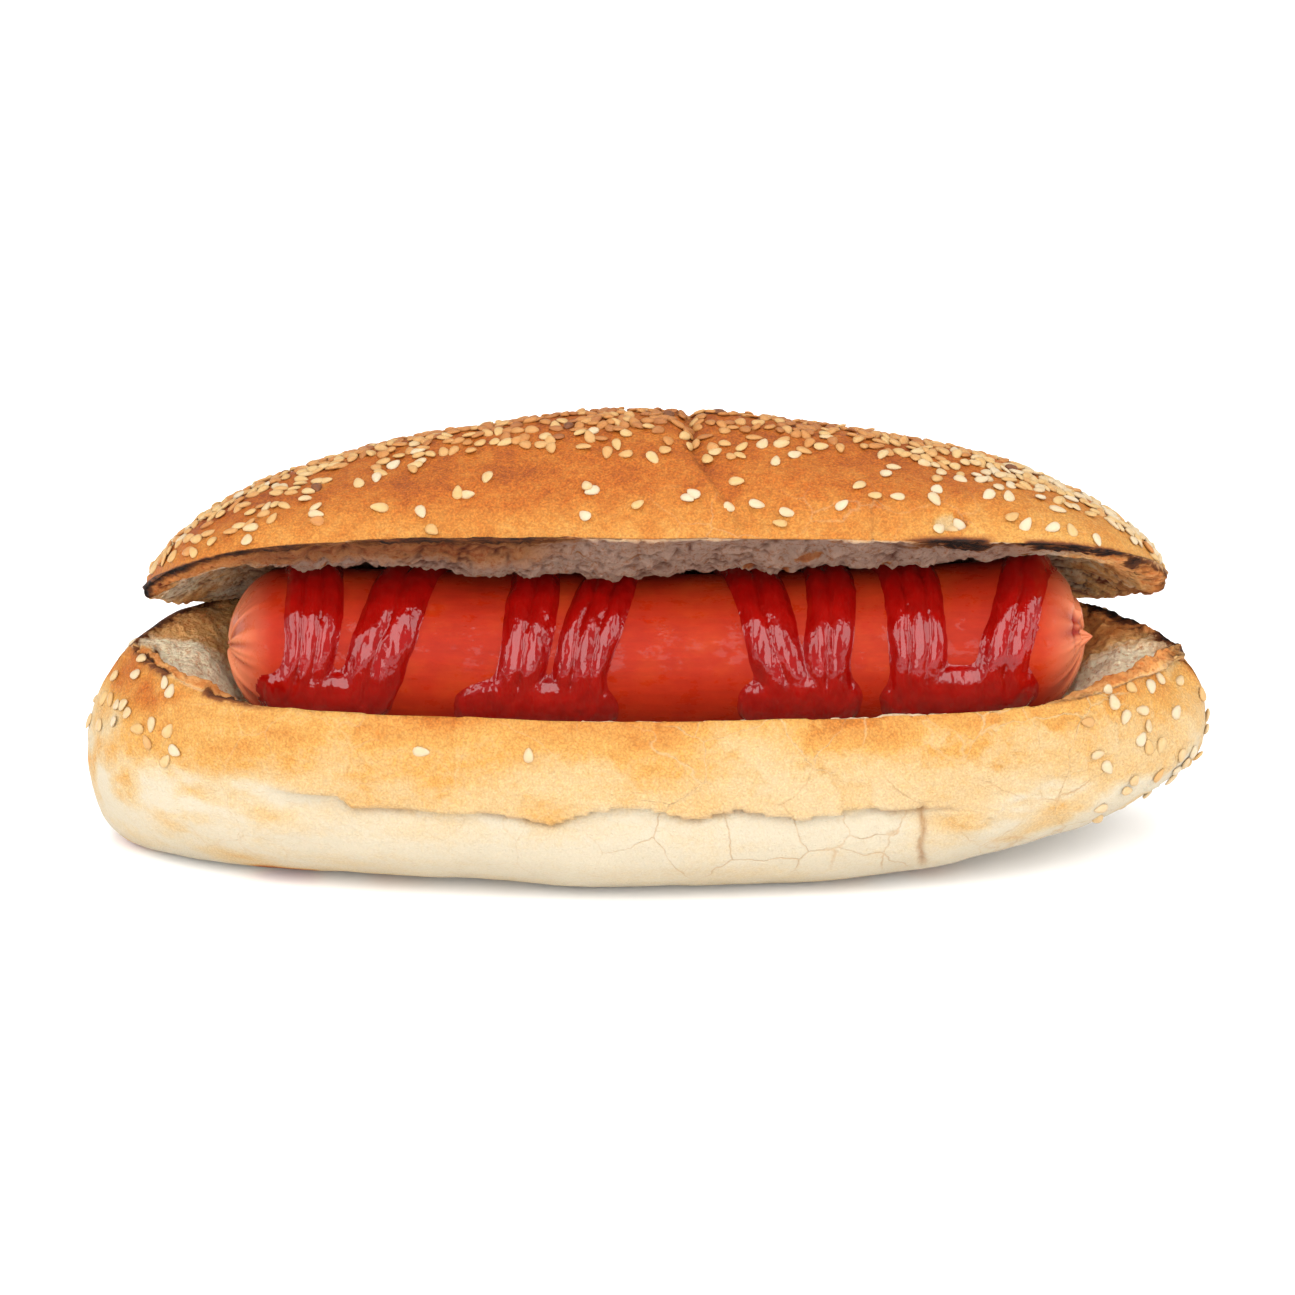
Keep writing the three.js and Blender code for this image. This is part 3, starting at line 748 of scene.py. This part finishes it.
def ribbon_distance(points, line):
    """Each point's distance from a line, and the same with a sign for its side."""
    best = np.full(len(points), 1e9)
    side = np.zeros(len(points))
    for a, b in zip(line[:-1], line[1:]):
        ahead = b - a
        share = np.clip(((points - a) @ ahead) / (ahead @ ahead), 0, 1)
        away = points - (a + share[:, None] * ahead)
        distance = np.hypot(*away.T)
        nearer = distance < best
        cross = ahead[0] * away[:, 1] - ahead[1] * away[:, 0]
        best = np.where(nearer, distance, best)
        side = np.where(nearer, np.sign(cross), side)
    return best, best * side


def ribbon_height(distance, signed, half_width, ridges, drift):
    """The section of a ribbon of ketchup: rounded ridges side by side over a thin foot."""
    share = np.clip(distance / half_width, 0, 1)
    bead = BEAD_HEIGHT * positive(1 - share**2.6) ** 0.5
    place = (signed / half_width + drift + 1) / 2 * ridges
    within = 2 * (place - np.floor(place)) - 1
    ridge = np.sqrt(1 - 0.98 * within**2)
    foot = np.maximum(0.25 - 0.5 * positive(distance - half_width * 0.95), -1)
    return np.maximum(np.where(distance < half_width, bead * (0.52 + 0.48 * ridge), -1), foot)


def smooth_max(a, b, blend):
    """The larger of two heights, rounded where they meet."""
    share = np.clip(0.5 + 0.5 * (a - b) / blend, 0, 1)
    return lerp(b, a, share) + blend * share * (1 - share)


def ketchup_height(x, arc):
    """How far the ketchup stands out of the casing at points x along it and arc mm round it."""
    points = stacked(x, arc)
    flat = stacked(x, arc, 0 * x)
    height = np.full(len(x), -1.0)
    warped = points + 0.5 * stacked(layered(flat, 7, 3, 121), layered(flat, 7, 3, 124))
    drift = 0.16 * layered(flat, 11, 2, 127)
    lines = [stroke_line(xs) for xs in STROKES]
    for n, line in enumerate(lines):
        distance, signed = ribbon_distance(warped, line)
        half_width = BEAD_HALF_WIDTH * (1 + 0.1 * math.sin(2.3 * n)) * (1 + 0.12 * noise(flat, 14, 128))
        ridges = 3 if n % 3 == 0 else 2
        height = smooth_max(height, ribbon_height(distance, signed, half_width, ridges, drift), 0.3)
    for a, b in BACK_TURNS:
        start, end = lines[a][0], lines[b][0]
        bow = np.linspace(0, math.pi, 24)
        turn = (start + end) / 2 - np.cos(bow)[:, None] * (end - start) / 2
        turn = turn + stacked(0 * bow, 5 * np.sin(bow))
        distance, signed = ribbon_distance(warped, turn)
        height = smooth_max(height, ribbon_height(distance, signed, BEAD_HALF_WIDTH, 2, drift), 0.3)
    for start, end, lip in POOLS:
        middle, half = (start + end) / 2, (end - start) / 2
        across = np.abs((warped[:, 0] - middle) / half)
        centre = np.radians(lip) * LINK_RADIUS - POOL_TALLNESS
        up = (warped[:, 1] - centre) / POOL_TALLNESS
        inside = 1 - (across**2.4 + np.abs(up) ** 2.6)
        edge = np.where(inside < 0, np.maximum(0.14 + 1.2 * inside, -1), 0)
        pool = POOL_HEIGHT * positive(inside) ** 0.5 + edge
        height = smooth_max(height, pool, 0.8)
    ripples = 0.1 * layered(flat * (1.6, 1, 1), 2.6, 3, 131)
    return height + ripples * smoothstep(height, 0.1, 0.8)


def build_ketchup():
    """The ketchup as one thin closed shell that reaches just into the casing."""
    left, right = LINK_LEFT + CAP_DEPTH, LINK_RIGHT - CAP_DEPTH
    x = np.arange(left - 9, right + 8, KETCHUP_SPACING)
    arc = np.arange(*(math.radians(degrees) * LINK_RADIUS for degrees in KETCHUP_DEGREES), KETCHUP_SPACING)
    grid_x, grid_arc = (grid.ravel() for grid in np.meshgrid(x, arc, indexing="ij"))
    height = ketchup_height(grid_x, grid_arc)
    angle = grid_arc / LINK_RADIUS
    past = positive(np.maximum(left - grid_x, grid_x - right) / CAP_DEPTH)
    radius = LINK_RADIUS * positive(1 - past**2) ** 0.45
    top = around_link(grid_x, angle, radius + link_lumps(grid_x, angle) + height)
    under = around_link(grid_x, angle, radius - KETCHUP_ROOT)
    count, rows = len(grid_x), len(arc)
    i, j = np.meshgrid(np.arange(len(x) - 1), np.arange(rows - 1), indexing="ij")
    a = (i * rows + j).ravel()
    quads = stacked(a, a + 1, a + 1 + rows, a + rows)
    quads = quads[height[quads].max(axis=1) > -0.2]
    upper = np.concatenate([quads[:, [0, 1, 2]], quads[:, [0, 2, 3]]])
    edges = np.concatenate([quads[:, [k, (k + 1) % 4]] for k in range(4)])
    border = edges[~np.isin(edges[:, 0] * count + edges[:, 1], edges[:, 1] * count + edges[:, 0])]
    p, q = border.T
    walls = np.concatenate([stacked(q, p, p + count), stacked(q, p + count, q + count)])
    faces = np.concatenate([upper, upper[:, ::-1] + count, walls])
    used, inverse = np.unique(faces, return_inverse=True)
    faces, vertices = inverse.reshape(-1, 3), np.concatenate([top, under])[used]
    return vertices, facing_out(vertices, faces), {}


# Materials

# How much brighter a surface shows in this studio than the colour it is given.
STUDIO_GAIN = 2.2


def linear(value):
    """One 8-bit screen value as linear light."""
    return value / 255 / 12.92 if value <= 10 else ((value / 255 + 0.055) / 1.055) ** 2.4


def shown(red, green, blue):
    """The base colour that shows as these 8-bit screen values in the studio's light."""
    return (*(linear(value) / STUDIO_GAIN for value in (red, green, blue)), 1)


def tint(red, green, blue):
    """A colour to multiply by, from 8-bit screen values."""
    return (*(linear(value) for value in (red, green, blue)), 1)


def grey(value):
    return (value, value, value, 1)


class Look:
    """A material and the nodes it is made of. Its textures lie in object space, with sizes in mm."""

    def __init__(self, name):
        self.material = bpy.data.materials.new(name)
        self.material.use_nodes = True
        self.tree = self.material.node_tree
        self.shader = self.tree.nodes["Principled BSDF"]
        self.place = self.node("TexCoord", {})["Object"]

    def fill(self, node, inputs):
        """Gives a node's inputs, by name or place, a constant or another node's output."""
        for key, value in inputs.items():
            if isinstance(value, bpy.types.NodeSocket):
                self.tree.links.new(value, node.inputs[key])
            else:
                node.inputs[key].default_value = value

    def node(self, kind, inputs, **settings):
        """The outputs of a new node."""
        node = self.tree.nodes.new("ShaderNode" + kind)
        for name, value in settings.items():
            setattr(node, name, value)
        self.fill(node, inputs)
        return node.outputs

    def mask(self, name):
        return self.node("Attribute", {}, attribute_name=name)["Fac"]

    def noise(self, size, detail=4, roughness=0.55, stretch=None, output="Fac"):
        place = self.place
        if stretch:
            place = self.node("Mapping", {"Vector": place, "Scale": stretch})["Vector"]
        inputs = {"Vector": place, "Scale": 1 / (size * MM), "Detail": detail, "Roughness": roughness}
        return self.node("TexNoise", inputs)[output]

    def ramp(self, source, *stops):
        """A colour for each value of the source, between stops of (value, colour)."""
        colour = self.node("ValToRGB", {"Fac": source})["Color"]
        elements = colour.node.color_ramp.elements
        while len(elements) < len(stops):
            elements.new(0.5)
        for element, stop in zip(elements, stops):
            element.position, element.color = stop
        return colour

    def math(self, operation, *values, clamp=False):
        return self.node("Math", dict(enumerate(values)), operation=operation, use_clamp=clamp)["Value"]

    def mix(self, share, a, b, blend="MIX"):
        """Colour b over colour a. The node's colour sockets are 6 and 7, and its colour output is 2."""
        return self.node("Mix", {0: share, 6: a, 7: b}, data_type="RGBA", blend_type=blend)[2]

    def tinted(self, colour, by, share=1.0):
        return self.mix(share, colour, by, "MULTIPLY")

    def bump(self, height, distance, strength, below=None):
        inputs = {"Height": height, "Distance": distance * MM, "Strength": strength}
        return self.node("Bump", {**inputs, "Normal": below} if below else inputs)["Normal"]

    def cracks(self, size, width):
        """Thin lines along the borders of irregular cells about size mm across, from 0 to 1."""
        wander = self.noise(7, 3, 0.5, output="Color")
        inputs = {0: wander, 1: (5 * MM, 5 * MM, 5 * MM), 2: self.place}
        shifted = self.node("VectorMath", inputs, operation="MULTIPLY_ADD")["Vector"]
        inputs = {"Vector": shifted, "Scale": 1 / (size * MM)}
        edge = self.node("TexVoronoi", inputs, feature="DISTANCE_TO_EDGE")["Distance"]
        open_parts = self.ramp(self.noise(18, 3), (0.4, grey(0.15)), (0.56, grey(1)))
        return self.math("MULTIPLY", self.ramp(edge, (0, grey(1)), (width, grey(0))), open_parts)

    def scatter(self, weight, red, green, blue):
        """Light that goes into the surface and comes out again, up to these distances in mm."""
        radius = (red * MM, green * MM, blue * MM)
        inputs = {"Subsurface Weight": weight, "Subsurface Radius": radius, "Subsurface Scale": 1}
        self.fill(self.shader, inputs)

    def finished(self, colour, roughness, **inputs):
        """The material, with its shader's inputs set. Their names have _ for a space."""
        inputs = {"Base_Color": colour, "Roughness": roughness, **inputs}
        self.fill(self.shader, {name.replace("_", " "): value for name, value in inputs.items()})
        return self.material


def crust_colour(look, speckle, crazing, browned):
    crust = look.ramp(
        browned,
        (0, shown(250, 234, 204)),
        (0.2, shown(250, 222, 176)),
        (0.4, shown(249, 208, 146)),
        (0.58, shown(247, 182, 94)),
        (0.74, shown(230, 146, 60)),
        (0.88, shown(210, 112, 34)),
        (1, shown(166, 78, 30)),
    )
    grain = look.ramp(speckle, (0.32, grey(0.72)), (0.5, grey(0.98)), (0.66, grey(1.38)))
    crust = look.tinted(crust, grain, look.math("MULTIPLY_ADD", browned, 0.9, 0.1, clamp=True))
    # Painted shade in the recessed crease, cracks and fold line.
    crust = look.mix(look.math("MULTIPLY", look.mask("crack"), 0.6), crust, shown(206, 140, 72))
    in_crack = look.ramp(browned, (0.3, shown(228, 178, 120)), (0.5, shown(253, 224, 172)))
    return look.mix(look.math("MULTIPLY", crazing, 0.55), crust, in_crack)


def crumb_colour(look, fluff):
    # The crumb's colours are not divided by the studio gain, so it shows brighter than crust of the same
    # colour: a pale crumb, brightened as painted light to make up for the light the upper half keeps off the
    # cut faces.
    crumb = look.ramp(fluff, (0.36, tint(228, 174, 124)), (0.5, tint(255, 236, 200)))
    # Painted shade in the crumb's pores, darker the deeper a point lies in them.
    crumb = look.tinted(crumb, look.ramp(look.mask("pore"), (0.05, grey(1)), (0.8, tint(128, 78, 56))))
    # Painted shade: the upper half's cut face is tinted darker where shade is set.
    crumb = look.tinted(crumb, look.ramp(look.mask("shade"), (0, grey(1)), (1, tint(152, 132, 136))))
    stops = (0.1, grey(1)), (0.5, tint(251, 208, 156)), (0.95, tint(224, 154, 98))
    return look.tinted(crumb, look.ramp(look.mask("toast"), *stops))


def bread_material():
    look = Look("bread")
    speckle = look.noise(0.45, 2)
    fluff = look.noise(1.2, 6, 0.75)
    uneven = look.math("MULTIPLY_ADD", look.noise(1.3, 5, 0.65), 0.3, -0.15)
    browned = look.math("ADD", look.mask("bake"), uneven)
    crazing = look.math("MULTIPLY", look.cracks(14, 0.017), look.mask("craze"))
    crumb = look.mask("crumb")
    colour = look.mix(crumb, crust_colour(look, speckle, crazing, browned), crumb_colour(look, fluff))

    streaky = look.math("MULTIPLY_ADD", look.noise(1.6, 5, 0.7, (0.25, 1, 1)), 3.4, -0.7)
    burn = look.math("MULTIPLY", look.mask("burn"), streaky, clamp=True)
    burnt = look.ramp(burn, (0.1, shown(196, 120, 58)), (0.5, shown(128, 70, 34)), (0.9, shown(44, 28, 20)))
    colour = look.mix(look.ramp(burn, (0.03, grey(0)), (0.35, grey(1))), colour, burnt)

    low = look.bump(look.noise(0.9, 4, 0.6), 0.3, 0.9)
    low = look.bump(speckle, 0.2, 0.8, low)
    low = look.bump(look.math("SUBTRACT", 1, crazing), 0.2, 0.7, low)
    normal = look.bump(look.math("MULTIPLY", fluff, crumb), 1.9, 1, low)
    look.scatter(0.1, 3, 1.5, 0.8)
    rough = look.ramp(crumb, (0, grey(0.58)), (1, grey(0.95)))
    return look.finished(colour, rough, Specular_IOR_Level=0.15, Normal=normal)


def seed_material():
    look = Look("sesame")
    mottled = look.math("MULTIPLY_ADD", look.noise(0.9, 3), 0.24, -0.12)
    colour = look.ramp(
        look.math("ADD", look.mask("tone"), mottled),
        (0, shown(254, 230, 192)),
        (0.3, shown(250, 204, 134)),
        (0.6, shown(230, 154, 80)),
        (0.85, shown(188, 112, 56)),
        (1, shown(122, 72, 42)),
    )
    look.scatter(0.1, 1.2, 0.8, 0.5)
    normal = look.bump(look.noise(0.5, 3), 0.06, 0.5)
    return look.finished(colour, 0.48, Specular_IOR_Level=0.25, Normal=normal)


def link_material():
    look = Look("frankfurter")
    stops = (0.3, shown(208, 44, 16)), (0.5, shown(220, 54, 18)), (0.7, shown(230, 72, 24))
    colour = look.ramp(look.noise(10, 5, 0.6), *stops)
    streak = look.noise(1.1, 4, 0.6, (0.12, 1, 1))
    colour = look.tinted(colour, look.ramp(streak, (0.35, grey(0.86)), (0.6, grey(1))), 0.8)
    # The ends' paler, pinker colour is a painted sheen; the tip mask also makes them less rough.
    tip = look.math("MULTIPLY", look.mask("tip"), 0.8)
    colour = look.mix(tip, colour, tint(206, 128, 90))
    # Painted shade in the folds and seam groove, and a little over the nub.
    colour = look.mix(look.mask("fold"), colour, shown(176, 42, 22))
    wet = look.ramp(look.noise(3, 4, 0.7, (0.6, 1, 1)), (0.57, grey(0.6)), (0.585, grey(0.05)))
    normal = look.bump(look.noise(0.6, 3), 0.05, 0.5, look.bump(streak, 0.08, 0.5))
    look.scatter(0.2, 3, 0.8, 0.4)
    return look.finished(colour, look.mix(tip, wet, grey(0.26)), Specular_IOR_Level=0.12, Normal=normal)


def ketchup_material():
    look = Look("ketchup")
    colour = look.ramp(look.noise(4, 4), (0.3, shown(168, 8, 5)), (0.7, shown(196, 16, 10)))
    ripples = look.bump(look.noise(2.1, 1, 0.5, (1, 0.35, 0.35)), 0.75, 1)
    look.scatter(0.1, 2, 0.3, 0.2)
    return look.finished(colour, 0.09, IOR=1.42, Normal=look.bump(look.noise(1, 1), 0.07, 1, ripples))


def floor_material():
    look = Look("floor")
    colour = look.ramp(look.noise(300, 2), (0.3, grey(0.93)), (0.7, grey(0.95)))
    return look.finished(colour, 0.9, Specular_IOR_Level=0.1)


# Pieces


def seeds_on_top(form, closed, swung, rng):
    """Points of the upper half that carry a seed, most of them along its crown, and each seed's tone."""
    vertices, faces, room = form
    x, y, z = vertices.T
    lift = (z - CUT_HEIGHT) / CROWN_HEIGHT
    on_crust = (room < 0) * smoothstep(lift, 0.03, 0.1)
    thick = 1 - smoothstep(np.abs(y) - 4 * noise(along(x), 24, 141), 13, 25)
    tips = np.where(x < 0, 0.35, 0.12) * smoothstep(np.abs(x), 55, 80)
    density = vertex_areas(closed, faces) * on_crust * (0.07 + tips + thick)
    spots = pick_spots(swung, density, TOP_SEEDS, TOP_SEED_SPACING, rng)
    middle = lerp(0.16, 0.66, smoothstep(lift[spots], 0.45, 0.9))
    tones = np.clip(rng.normal(middle, 0.15) + 0.22 * smoothstep(-x[spots], 50, 80), 0, 0.85)
    return spots, np.where(rng.random(len(spots)) < DARK_SEED_SHARE, DARK_SEED_TONE, tones)


def seeds_below(form, dressed, rng):
    """Points of the lower half that carry a seed, at its ends and the stray places, and each tone."""
    vertices, faces, room = form
    x, y, z = vertices.T
    ends = smoothstep(np.abs(x), 80, 97) * np.where(x > 0, smoothstep(z, 4, 16), 0.6 * smoothstep(z, 23, 29))
    density = vertex_areas(dressed, faces) * (room < 0) * ends
    spots = pick_spots(dressed, density, END_SEEDS, END_SEED_SPACING, rng)
    hidden = 99 * ((y > 0) | (room >= 0))
    spots += [np.argmin(np.hypot(x - at, z - height) + hidden) for at, height in STRAY_SEEDS]
    return spots, np.clip(rng.normal(0.18, 0.13, len(spots)), 0, 0.8)


def build_bun():
    lower_form = half_grid(lower_crust, lower_crumb, *LOWER_GRID)
    upper_form = half_grid(upper_crust, upper_crumb, *UPPER_GRID)
    lower, lower_masks = dress_lower(lower_form)
    closed, upper_masks = dress_upper(upper_form)
    upper = opened(closed)
    lower_faces, upper_faces = lower_form[1], upper_form[1]
    faces = np.concatenate([lower_faces, upper_faces + len(lower)])
    masks = {name: np.concatenate([lower_masks[name], upper_masks[name]]) for name in lower_masks}
    bread = make_object("bun_bread", np.concatenate([lower, upper]), faces, masks, bread_material())

    rng = np.random.default_rng(SEED_DRAWS)
    top, top_tones = seeds_on_top(upper_form, closed, upper, rng)
    low, low_tones = seeds_below(lower_form, lower, rng)
    picked = np.concatenate([top, len(upper) + np.array(low)])
    spots = np.concatenate([upper, lower])[picked]
    normals = np.concatenate([vertex_normals(upper, upper_faces), vertex_normals(lower, lower_faces)])[picked]
    points, faces, tone = lay_seeds(spots, normals, np.concatenate([top_tones, low_tones]), rng)
    return bread, make_object("sesame_seeds", points, faces, {"tone": tone}, seed_material())


def build_frankfurter():
    material = link_material()
    casing = make_object("frankfurter_casing", *build_link(), material)
    nub = make_object("frankfurter_nub", *build_nub(), material)
    ketchup = make_object("ketchup_zigzag", *build_ketchup(), ketchup_material())
    return casing, nub, ketchup


# The studio

CAMERA_ELEVATION = math.radians(21.5)
CAMERA_DISTANCE = 2.0
CAMERA_TARGET = Vector((-0.0003, 0.0012, 0))
TARGET_RISE = 0.0379
SENSOR = 36.0
PIXELS_PER_METRE = 5000
FRAME_PIXELS = 1295
FLOOR_HALF = 3.0
WORLD_STRENGTH = 0.55
LIGHT_TARGET = Vector((0, 0, 0.04))
# Each light's name, azimuth (0 in front), elevation, distance, width, height and radiance.
SOFTBOXES = (
    ("front_softbox", 0, 31, 1.3, 1.05, 1.4, 5.15),
    ("top_softbox", 180, 72, 1.4, 1.4, 1.0, 2.7),
    ("left_softbox", -75, 26, 1.2, 0.9, 0.9, 4.0),
    ("right_softbox", 75, 26, 1.2, 0.9, 0.9, 3.8),
)


def build_camera():
    """The photograph's view: level along the roll, looking down a little, at 5 pixels to the millimetre."""
    data = bpy.data.cameras.new("camera")
    data.sensor_width = SENSOR
    data.lens = SENSOR * CAMERA_DISTANCE * PIXELS_PER_METRE / FRAME_PIXELS
    data.clip_end = 30
    camera = add_object("camera", data)
    back = Vector((0, -math.cos(CAMERA_ELEVATION), math.sin(CAMERA_ELEVATION)))
    up = Vector((0, math.sin(CAMERA_ELEVATION), math.cos(CAMERA_ELEVATION)))
    camera.location = CAMERA_TARGET + up * TARGET_RISE + back * CAMERA_DISTANCE
    camera.rotation_euler = (math.pi / 2 - CAMERA_ELEVATION, 0, 0)
    bpy.context.scene.camera = camera


def softbox(name, azimuth, elevation, distance, width, height, radiance):
    """A rectangular light that faces the hot dog."""
    data = bpy.data.lights.new(name, "AREA")
    data.shape = "RECTANGLE"
    data.size = width
    data.size_y = height
    data.energy = radiance * math.pi * width * height
    light = add_object(name, data)
    a, e = math.radians(azimuth), math.radians(elevation)
    towards = Vector((math.sin(a) * math.cos(e), -math.cos(a) * math.cos(e), math.sin(e)))
    light.location = LIGHT_TARGET + towards * distance
    light.rotation_euler = towards.to_track_quat("Z", "Y").to_euler()


def build_studio():
    mesh = bpy.data.meshes.new("floor")
    corners = [(x * FLOOR_HALF, y * FLOOR_HALF, 0) for x, y in ((-1, -1), (1, -1), (1, 1), (-1, 1))]
    mesh.from_pydata(corners, [], [(0, 1, 2, 3)])
    mesh.materials.append(floor_material())
    floor = add_object("floor", mesh)
    world = bpy.data.worlds.new("studio")
    world.use_nodes = True
    background = world.node_tree.nodes["Background"]
    background.inputs["Color"].default_value = (1, 1, 1, 1)
    background.inputs["Strength"].default_value = WORLD_STRENGTH
    bpy.context.scene.world = world
    bpy.context.scene.view_settings.view_transform = "Standard"
    for light in SOFTBOXES:
        softbox(*light)


bun, seeds = build_bun()
casing, nub, ketchup = build_frankfurter()
for piece, node, slot in (
    (bun, "bun", "bread"),
    (seeds, "bun", "sesame"),
    (casing, "frankfurter", "frankfurter"),
    (nub, "frankfurter", "frankfurter"),
    (ketchup, "frankfurter", "ketchup"),
):
    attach(piece, "root")
    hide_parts(node)
build_camera()
build_studio()
